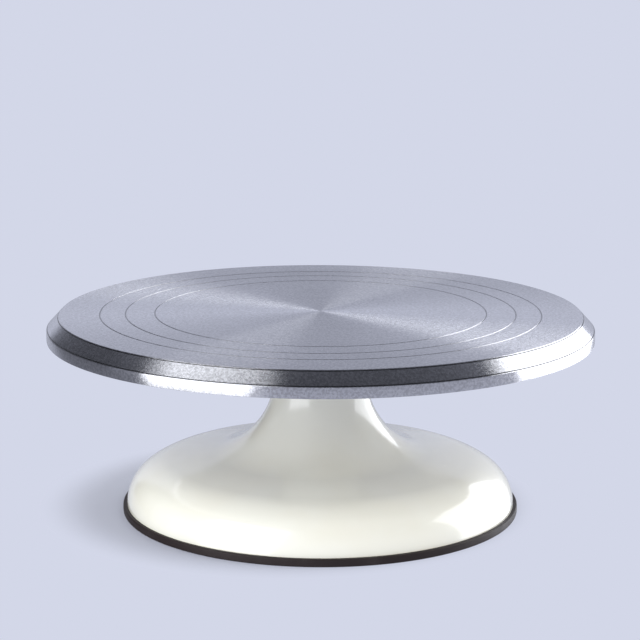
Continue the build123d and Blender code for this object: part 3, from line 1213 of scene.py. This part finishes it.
@dataclass
class SpindleStack:
    """The hub, spindle, spacer, washers and nut, which turn together."""

    hub: TurnedMetal = TurnedMetal(
        "hub_steel", (0.42, 0.42, 0.44), 0.34, anisotropy=0.5, shade_spread=0.08
    )

    def build(self) -> None:
        """Dress the stack's nodes."""
        dress_node("plate_hub", self.hub)
        dress_node("hub_set_screw", Palette.BLACK_STEEL.value)
        dress_node("spindle", Palette.GROUND_STEEL.value)
        dress_node("spindle_lock_washer", Palette.SPRING_STEEL.value)
        for node in ("bearing_spacer", "spindle_washer", "spindle_nut"):
            dress_node(node, Palette.ZINC_STEEL.value)


class BearingPlace(Enum):
    """Where a ball bearing and its circlip sit."""

    UPPER = "upper"
    LOWER = "lower"


@dataclass
class BallBearing:
    """One shielded ball bearing with the circlip that holds it."""

    place: BearingPlace

    def build(self) -> None:
        """Dress the bearing's nodes."""
        wear = {
            "bearing_outer_race": Palette.RACE_STEEL,
            "bearing_inner_race": Palette.RACE_STEEL,
            "bearing_balls": Palette.BALL_STEEL,
            "bearing_cage": Palette.CAGE_NYLON,
            "bearing_top_shield": Palette.ZINC_STEEL,
            "bearing_bottom_shield": Palette.ZINC_STEEL,
            "circlip": Palette.SPRING_STEEL,
        }
        for part, finish in wear.items():
            dress_node(f"{self.place.value}_{part}", finish.value)


@dataclass
class BellLine:
    """The pedestal's side: a flare, a straight shoulder, a crown and a skirt, each tangent to the next."""

    base_radius: float
    neck_radius: float
    foot_height: float
    flare_radius: float = 44.2 * MM
    crown_radius: float = 39.65 * MM
    skirt_radius: float = 22.23 * MM
    slope: float = math.radians(10.0)
    crown_end: float = math.radians(33.57)

    def centres(self) -> tuple[tuple[float, float], tuple[float, float], tuple[float, float]]:
        """Work out the arcs' centres.

        Returns:
            The centres of the flare, the crown and the skirt.
        """
        rise = self.crown_radius - self.skirt_radius
        skirt = (self.base_radius - self.skirt_radius, self.foot_height)
        crown = (skirt[0] - rise * math.sin(self.crown_end), skirt[1] - rise * math.cos(self.crown_end))
        flare_x = self.neck_radius + self.flare_radius
        joined = self.crown_radius + self.flare_radius
        run = crown[0] - flare_x + joined * math.sin(self.slope)
        shoulder = run / math.cos(self.slope)
        flare_z = crown[1] + joined * math.cos(self.slope) + shoulder * math.sin(self.slope)
        return (flare_x, flare_z), crown, skirt

    def draw(self, outline: Outline, inset: float, down: bool, start: float = 0.0) -> None:
        """Add the line to an outline.

        Args:
            outline: The outline to add to.
            inset: How far the line lies inside the outer surface.
            down: Whether it runs from the neck to the foot, or back up.
            start: The flare's first angle below level.
        """
        flare, crown, skirt = self.centres()
        quarter = math.pi / 2
        arcs = [
            (flare, self.flare_radius + inset, math.pi + start, math.pi + quarter - self.slope),
            (crown, self.crown_radius - inset, quarter - self.slope, quarter - self.crown_end),
            (skirt, self.skirt_radius - inset, quarter - self.crown_end, 0.0),
        ]
        if down:
            for centre, radius, first, last in arcs:
                outline.arc(centre, radius, first, last)
        else:
            for centre, radius, first, last in reversed(arcs):
                outline.arc(centre, radius, last, first)


@dataclass
class Pedestal:
    """The hollow cast pedestal: enamelled bell, ribbed inside, bored neck."""

    lathe: Lathe
    shell: float = 5.0 * MM
    boss_radius: float = 24.0 * MM
    neck_rounding: float = 1.2 * MM
    ceiling: float = 44.0 * MM
    ceiling_rounding: float = 3.5 * MM
    shoulder_step: float = 2.5 * MM
    groove_depth: float = 0.9 * MM
    groove_height: float = 1.25 * MM
    edge_rounding: float = 0.5 * MM
    rib_count: int = 4
    rib_thickness: float = 5.0 * MM
    rib_boss_height: float = 27.0 * MM
    rib_shell_height: float = 13.0 * MM
    rib_overlap: float = 2.0 * MM
    ceiling_overlap: float = 1.0 * MM
    arc_step: float = math.radians(4)
    rib_arc_step: float = math.radians(6)
    bore_rounding: float = 0.3 * MM
    bore_margin: float = 0.1 * MM
    boss_margin: float = 1.0 * MM
    hollow_top: float = 66.0 * MM
    facing_limit: float = 0.02
    rib_upright: float = 0.1
    rib_sideways: float = 0.5
    neck_radius: float = 26.3 * MM
    base_radius: float = 109.5 * MM
    segments: int = 288
    enamel: GlossEnamel = GlossEnamel("cream_enamel", (0.855, 0.852, 0.772), 0.25)
    rough_cast: CastUnderside = CastUnderside("oversprayed_casting", (0.66, 0.65, 0.60), 0.62)
    bored: TurnedMetal = TurnedMetal("bored_iron", (0.30, 0.30, 0.31), 0.3, anisotropy=0.4)

    def bell(self) -> BellLine:
        """The side's line, standing on the foot ring's top edge."""
        return BellLine(self.base_radius, self.neck_radius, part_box("foot_ring")[1].z)

    def outline(self) -> Outline:
        """Draw the casting's half section, from the bore's top out, down, inside and back up the bore.

        Returns:
            The closed outline.
        """
        low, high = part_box("pedestal")
        top = high.z
        seal_low, seal_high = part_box("dust_seal")
        seal_outer = seal_high.x
        seal_inner = (self.neck_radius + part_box("upper_bearing_outer_race")[1].x) - seal_outer
        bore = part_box("upper_bearing_outer_race")[1].x
        upper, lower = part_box("upper_bearing_outer_race"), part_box("lower_bearing_outer_race")
        boss_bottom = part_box("bottom_cap")[0].z + Seals.cap_flange
        bell = self.bell()
        outline = Outline(arc_step=self.arc_step)
        outline.to(bore, top, self.bore_rounding).to(seal_inner, top).to(seal_inner, seal_low.z)
        outline.to(seal_outer, seal_low.z).to(seal_outer, top).to(self.neck_radius, top, self.neck_rounding)
        bell.draw(outline, 0.0, True)
        outline.to(self.base_radius, low.z).to(self.base_radius - self.shell, low.z)
        flare_centre = bell.centres()[0]
        start = math.asin((flare_centre[1] - self.ceiling) / (bell.flare_radius + self.shell))
        bell.draw(outline, self.shell, False, start)
        radius, height, _ = outline.corners[-1]
        outline.corners[-1] = (radius, height, self.ceiling_rounding)
        outline.to(self.boss_radius, self.ceiling, self.ceiling_rounding)
        outline.to(self.boss_radius, boss_bottom, self.edge_rounding).to(bore, boss_bottom)
        groove = bore + self.groove_depth
        outline.to(bore, lower[0].z - self.groove_height).to(groove, lower[0].z - self.groove_height)
        outline.to(groove, lower[0].z).to(bore, lower[0].z).to(bore, lower[1].z)
        outline.to(bore - self.shoulder_step, lower[1].z).to(bore - self.shoulder_step, upper[0].z)
        outline.to(bore, upper[0].z).to(bore, upper[1].z).to(groove, upper[1].z)
        return outline.to(groove, upper[1].z + self.groove_height).to(bore, upper[1].z + self.groove_height)

    def ribs(self) -> bpy.types.Object:
        """Make the ribs as one set of slabs that reach into the boss and the shell.

        Returns:
            The ribs.
        """
        work = bmesh.new()
        inner, outer = self.boss_radius - self.rib_overlap, self.base_radius - self.shell / 2
        ceiling = self.ceiling + self.ceiling_overlap
        slope = (self.rib_shell_height - self.rib_boss_height) / (self.base_radius - self.boss_radius)
        bell = self.bell()
        section = Outline(arc_step=self.rib_arc_step)
        section.to(inner, self.rib_boss_height - self.rib_overlap * slope)
        section.to(outer, self.rib_boss_height + (outer - self.boss_radius) * slope)
        flare_centre = bell.centres()[0]
        depth = self.shell / 2
        start = math.asin((flare_centre[1] - ceiling) / (bell.flare_radius + depth))
        bell.draw(section, depth, False, start)
        section.to(inner, ceiling)
        points = section.points(False)
        rib_floor = self.rib_boss_height + (outer - self.boss_radius) * slope
        kept = [p for p in points if p.z > rib_floor or p.x < self.neck_radius or p is points[1]]
        for step in range(self.rib_count):
            turn = Matrix.Rotation((step + 0.5) * 2 * math.pi / self.rib_count, 4, "Z")
            sides = []
            for offset in (-self.rib_thickness / 2, self.rib_thickness / 2):
                ring = [work.verts.new(turn @ (p + Vector((0, offset, 0)))) for p in kept]
                work.faces.new(ring)
                sides.append(ring)
            count = len(kept)
            for index in range(count):
                after = (index + 1) % count
                work.faces.new((sides[0][index], sides[0][after], sides[1][after], sides[1][index]))
        bmesh.ops.recalc_face_normals(work, faces=work.faces)
        return MeshCare.new_object("ribs", work, self.enamel)

    def build(self) -> None:
        """Turn the casting, join its ribs, dress it and hand it over."""
        casting = self.lathe.turn("casting", self.outline(), True, self.segments, self.enamel)
        MeshCare.combine(casting, self.ribs(), "UNION")
        self.dress(casting.data)
        add_piece(casting, "base", "cream_enamel", "pedestal")

    def dress(self, mesh: bpy.types.Mesh) -> None:
        """Give the hollow its rough finish and the bore its machined one.

        Args:
            mesh: The casting's mesh.
        """
        mesh.materials.clear()
        for finish in (self.enamel, self.rough_cast, self.bored):
            mesh.materials.append(finish.material())
        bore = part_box("upper_bearing_outer_race")[1].x + self.groove_depth + self.bore_margin
        for face in mesh.polygons:
            if math.hypot(face.center.x, face.center.y) < bore:
                face.material_index = 2
            else:
                face.material_index = int(self.in_hollow(face.center, face.normal))

    def in_hollow(self, centre: Vector, normal: Vector) -> bool:
        """Say whether a face lies in the hollow: on the boss, on the wall or on a rib.

        Args:
            centre: The face's centre.
            normal: The face's normal.

        Returns:
            True in the hollow.
        """
        radius = math.hypot(centre.x, centre.y)
        outward = (normal.x * centre.x + normal.y * centre.y) / max(radius, MM)
        on_boss = radius < self.boss_radius + self.boss_margin and centre.z < self.ceiling
        on_wall = centre.z < self.hollow_top and min(normal.z, outward) < -self.facing_limit
        sideways = abs(normal.z) < self.rib_upright and abs(outward) < self.rib_sideways
        return on_boss or on_wall or (sideways and self.boss_radius < radius < self.base_radius)


@dataclass
class Seals:
    """The foot ring, the dust seal in the neck and the cap under the spindle."""

    lathe: Lathe
    foot_lip: float = 2.2 * MM
    foot_inner_lip: float = 2.0 * MM
    foot_thickness: float = 1.8 * MM
    foot_rounding: float = 0.8 * MM
    foot_groove_width: float = 0.9 * MM
    foot_groove_depth: float = 0.4 * MM
    foot_groove_count: int = 3
    seal_lip_width: float = 1.2 * MM
    seal_groove_depth: float = 2.4 * MM
    seal_rounding: float = 0.25 * MM
    cap_flange: float = 1.2 * MM
    cap_wall: float = 1.2 * MM
    cap_recess: float = 0.5 * MM
    cap_recess_radius: float = 13.0 * MM
    cap_recess_slope: float = 0.8 * MM
    cap_rounding: float = 0.3 * MM
    cap_rim_rounding: float = 0.2 * MM
    segments: int = 256
    foot_finish: MouldedRubber = MouldedRubber("foot_rubber", (0.020, 0.013, 0.013), 0.55)

    def foot_outline(self) -> Outline:
        """Draw the foot ring's channel section, with grip grooves underneath.

        Returns:
            The closed outline.
        """
        low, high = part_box("foot_ring")
        outer, top = high.x, high.z
        wall_outer = outer - self.foot_lip
        wall_inner = wall_outer - Pedestal.shell
        inner = wall_inner - self.foot_inner_lip
        outline = Outline().to(inner, low.z, self.foot_rounding)
        pitch = (outer - inner) / (self.foot_groove_count + 1)
        for groove in range(1, self.foot_groove_count + 1):
            middle = inner + groove * pitch
            outline.to(middle - self.foot_groove_width / 2, low.z)
            outline.to(middle, low.z + self.foot_groove_depth)
            outline.to(middle + self.foot_groove_width / 2, low.z)
        outline.to(outer, low.z, self.foot_rounding).to(outer, top, self.foot_rounding)
        outline.to(wall_outer, top).to(wall_outer, self.foot_thickness).to(wall_inner, self.foot_thickness)
        return outline.to(wall_inner, top).to(inner, top, self.foot_rounding)

    def seal_outline(self) -> Outline:
        """Draw the dust seal's section.

        Returns:
            The closed outline.
        """
        low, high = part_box("dust_seal")
        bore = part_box("upper_bearing_outer_race")[1].x
        inner = Pedestal.neck_radius + bore - high.x
        neck_top = low.z + self.seal_groove_depth
        middle, half = (inner + high.x) / 2, self.seal_lip_width / 2
        outline = Outline().to(inner, low.z).to(high.x, low.z).to(high.x, neck_top)
        outline.to(middle + half, neck_top, self.seal_rounding).to(middle + half, high.z, self.seal_rounding)
        outline.to(middle - half, high.z, self.seal_rounding).to(middle - half, neck_top, self.seal_rounding)
        return outline.to(inner, neck_top)

    def cap_outline(self) -> Outline:
        """Draw the bottom cap's section, with a shallow dish underneath.

        Returns:
            The outline, from the axis underneath to the axis on top.
        """
        low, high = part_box("bottom_cap")
        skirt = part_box("lower_bearing_outer_race")[1].x
        shelf = low.z + self.cap_flange
        recess, wall = self.cap_recess_radius, skirt - self.cap_wall
        outline = Outline().to(0.0, low.z + self.cap_recess)
        outline.to(recess, low.z + self.cap_recess, self.cap_rounding)
        outline.to(recess + self.cap_recess_slope, low.z, self.cap_rounding)
        outline.to(high.x, low.z, self.cap_flange / 2).to(high.x, shelf, self.cap_rim_rounding)
        outline.to(skirt, shelf).to(skirt, high.z, self.cap_rounding)
        return outline.to(wall, high.z, self.cap_rounding).to(wall, shelf).to(0.0, shelf)

    def build(self) -> None:
        """Turn the three pieces and hand them over."""
        foot = self.lathe.turn("foot", self.foot_outline(), True, self.segments, self.foot_finish)
        add_piece(foot, "base", "foot_rubber", "foot_ring")
        seal = self.lathe.turn(
            "neck_seal", self.seal_outline(), True, self.segments, Palette.SEAL_RUBBER.value
        )
        add_piece(seal, "base", "seal_rubber", "dust_seal")
        cap = self.lathe.turn(
            "spindle_cap", self.cap_outline(), False, self.segments, Palette.CAP_PLASTIC.value
        )
        add_piece(cap, "base", "cap_plastic", "bottom_cap")


# ---- The studio ----


def direction(azimuth: float, elevation: float) -> Vector:
    """Point from the middle of the set.

    Args:
        azimuth: Degrees from the camera's side, positive to the right.
        elevation: Degrees above the floor.

    Returns:
        A unit vector.
    """
    turn, rise = math.radians(azimuth), math.radians(elevation)
    return Vector(
        (math.sin(turn) * math.cos(rise), -math.cos(turn) * math.cos(rise), math.sin(rise))
    )


@dataclass(frozen=True)
class SoftBox:
    """A rectangular soft light that faces the turntable."""

    COOL = (0.95, 0.97, 1.0)

    name: str
    azimuth: float
    elevation: float
    distance: float
    width: float
    height: float
    power: float

    def build(self, target: Vector) -> None:
        """Hang the light.

        Args:
            target: The point that it faces.
        """
        light = bpy.data.lights.new(self.name, "AREA")
        light.shape = "RECTANGLE"
        light.size, light.size_y = self.width, self.height
        light.energy = self.power
        light.color = self.COOL
        made = bpy.data.objects.new(self.name, light)
        bpy.context.scene.collection.objects.link(made)
        out = direction(self.azimuth, self.elevation)
        made.location = target + out * self.distance
        made.rotation_mode = "QUATERNION"
        made.rotation_quaternion = out.to_track_quat("Z", "Y")
        made.visible_camera = False


@dataclass
class Studio:
    """The floor, the surroundings that the metal reflects, the lights and the camera."""

    SENSOR_WIDTH = 36.0
    CLIP = (0.05, 60.0)

    floor_reach: float = 12.0
    floor_cells: int = 8
    paper: StudioPaper = StudioPaper("pale_paper", (0.651, 0.680, 0.807), 1.0)
    ambient_level: float = 1.0
    ambient_colour: Colour = (1.0, 0.98, 0.93)
    dark_level: float = 0.08
    side_level: float = 0.5
    overhead_level: float = 0.3
    ground_level: float = 0.70
    ground_fall: float = 0.42
    wall_level: float = 0.85
    wall_depth: Span = (0.1, 0.4)
    wall_side: Span = (0.42, 0.54)
    wall_top: Span = (0.55, 0.9)
    side_top: Span = (0.34, 0.5)
    corner_side: Span = (0.3, 0.5)
    corner_depth: Span = (0.0, 0.15)
    overhead_near: Span = (0.05, 0.2)
    overhead_far: Span = (0.45, 0.7)
    overhead_height: Span = (0.7, 0.85)
    ground_side: Span = (0.45, 0.75)
    horizon: Span = (-0.06, 0.02)
    camera_distance: float = 1157.85 * MM
    camera_elevation: float = 11.438
    camera_lens: float = 116.4
    camera_roll: float = 0.0031
    aim_drop: float = 5.15 * MM
    aim_left: float = 0.4 * MM
    boxes: tuple[SoftBox, ...] = (
        SoftBox(
            "left_softbox", azimuth=-50.0, elevation=16.0, distance=2.2, width=2.0, height=3.2, power=57.0
        ),
        SoftBox(
            "right_softbox", azimuth=117.5, elevation=11.0, distance=3.0, width=3.8, height=3.9, power=135.0
        ),
    )

    def build(self) -> None:
        """Make the whole set."""
        scene = bpy.context.scene
        scene.view_settings.view_transform = "Standard"
        self.floor()
        self.surroundings()
        top = Vector((0.0, 0.0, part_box("turntable_plate")[1].z))
        for box in self.boxes:
            box.build(top)
        self.camera(top)

    def floor(self) -> None:
        """Lay the paper on the floor."""
        work = bmesh.new()
        cells = self.floor_cells
        bmesh.ops.create_grid(work, x_segments=cells, y_segments=cells, size=self.floor_reach)
        mesh = bpy.data.meshes.new("floor")
        work.to_mesh(mesh)
        work.free()
        mesh.materials.append(self.paper.material())
        made = bpy.data.objects.new("floor", mesh)
        bpy.context.scene.collection.objects.link(made)
        made.visible_glossy = False

    def surroundings(self) -> None:
        """Paint the world: pale to the camera; pale low behind the set and dark above for reflections."""
        world = bpy.data.worlds.new("studio_air")
        bpy.context.scene.world = world
        world.use_nodes = True
        graph = Graph(world.node_tree)
        x, y, z = graph.split(graph.node("ShaderNodeTexCoord").outputs["Generated"])
        behind = graph.smooth(y, *self.wall_depth) * (1.0 - graph.smooth(abs(x), *self.wall_side))
        low = 1.0 - graph.smooth(z, *self.wall_top)
        corner = graph.smooth(-1.0 * x, *self.corner_side) * graph.smooth(y, *self.corner_depth)
        sides = (1.0 - graph.smooth(z, *self.side_top)) * (1.0 - behind) * (1.0 - corner)
        overhead = graph.smooth(y, *self.overhead_near) * (1.0 - graph.smooth(y, *self.overhead_far))
        overhead = overhead * graph.smooth(z, *self.overhead_height)
        level = self.dark_level + (self.wall_level - self.dark_level) * behind * low
        level = level + (self.side_level - self.dark_level) * sides + self.overhead_level * overhead
        left = graph.smooth(-1.0 * x, *self.ground_side) * (1.0 - behind)
        below = 1.0 - graph.smooth(z, *self.horizon)
        level = level * (1.0 - below) + (self.ground_level - self.ground_fall * left) * below
        path = graph.node("ShaderNodeLightPath")
        seen = graph.value(path.outputs["Is Camera Ray"])
        soft = graph.value(path.outputs["Is Diffuse Ray"])
        strength = seen + soft * self.ambient_level + (1.0 - seen) * (1.0 - soft) * level
        tint = graph.mix(soft, self.paper.colour, self.ambient_colour)
        shader = graph.node("ShaderNodeBackground", None, {"Color": tint, "Strength": strength})
        graph.node("ShaderNodeOutputWorld", None, {"Surface": shader.outputs[0]})

    def camera(self, target: Vector) -> None:
        """Set the camera up.

        Args:
            target: The middle of the plate's top.
        """
        data = bpy.data.cameras.new("camera")
        data.lens, data.sensor_width = self.camera_lens, self.SENSOR_WIDTH
        data.clip_start, data.clip_end = self.CLIP
        made = bpy.data.objects.new("camera", data)
        bpy.context.scene.collection.objects.link(made)
        made.location = target + direction(0.0, self.camera_elevation) * self.camera_distance
        aim = target - Vector((self.aim_left, 0.0, self.aim_drop))
        made.rotation_mode = "QUATERNION"
        level = (aim - made.location).to_track_quat("-Z", "Y").to_matrix()
        made.rotation_quaternion = (level @ Matrix.Rotation(self.camera_roll, 3, "Z")).to_quaternion()
        bpy.context.scene.camera = made


def main() -> None:
    """Build the turntable's pieces in order, then the studio."""
    logging.basicConfig(level=logging.INFO, format="%(name)s: %(message)s")
    lathe, ring = Lathe(), Ring()
    Plate(lathe).build()
    HubScrews(lathe, ring).build()
    SpindleStack().build()
    for place in BearingPlace:
        BallBearing(place).build()
    Pedestal(lathe).build()
    Seals(lathe).build()
    Studio().build()


if __name__ == "__main__":
    main()
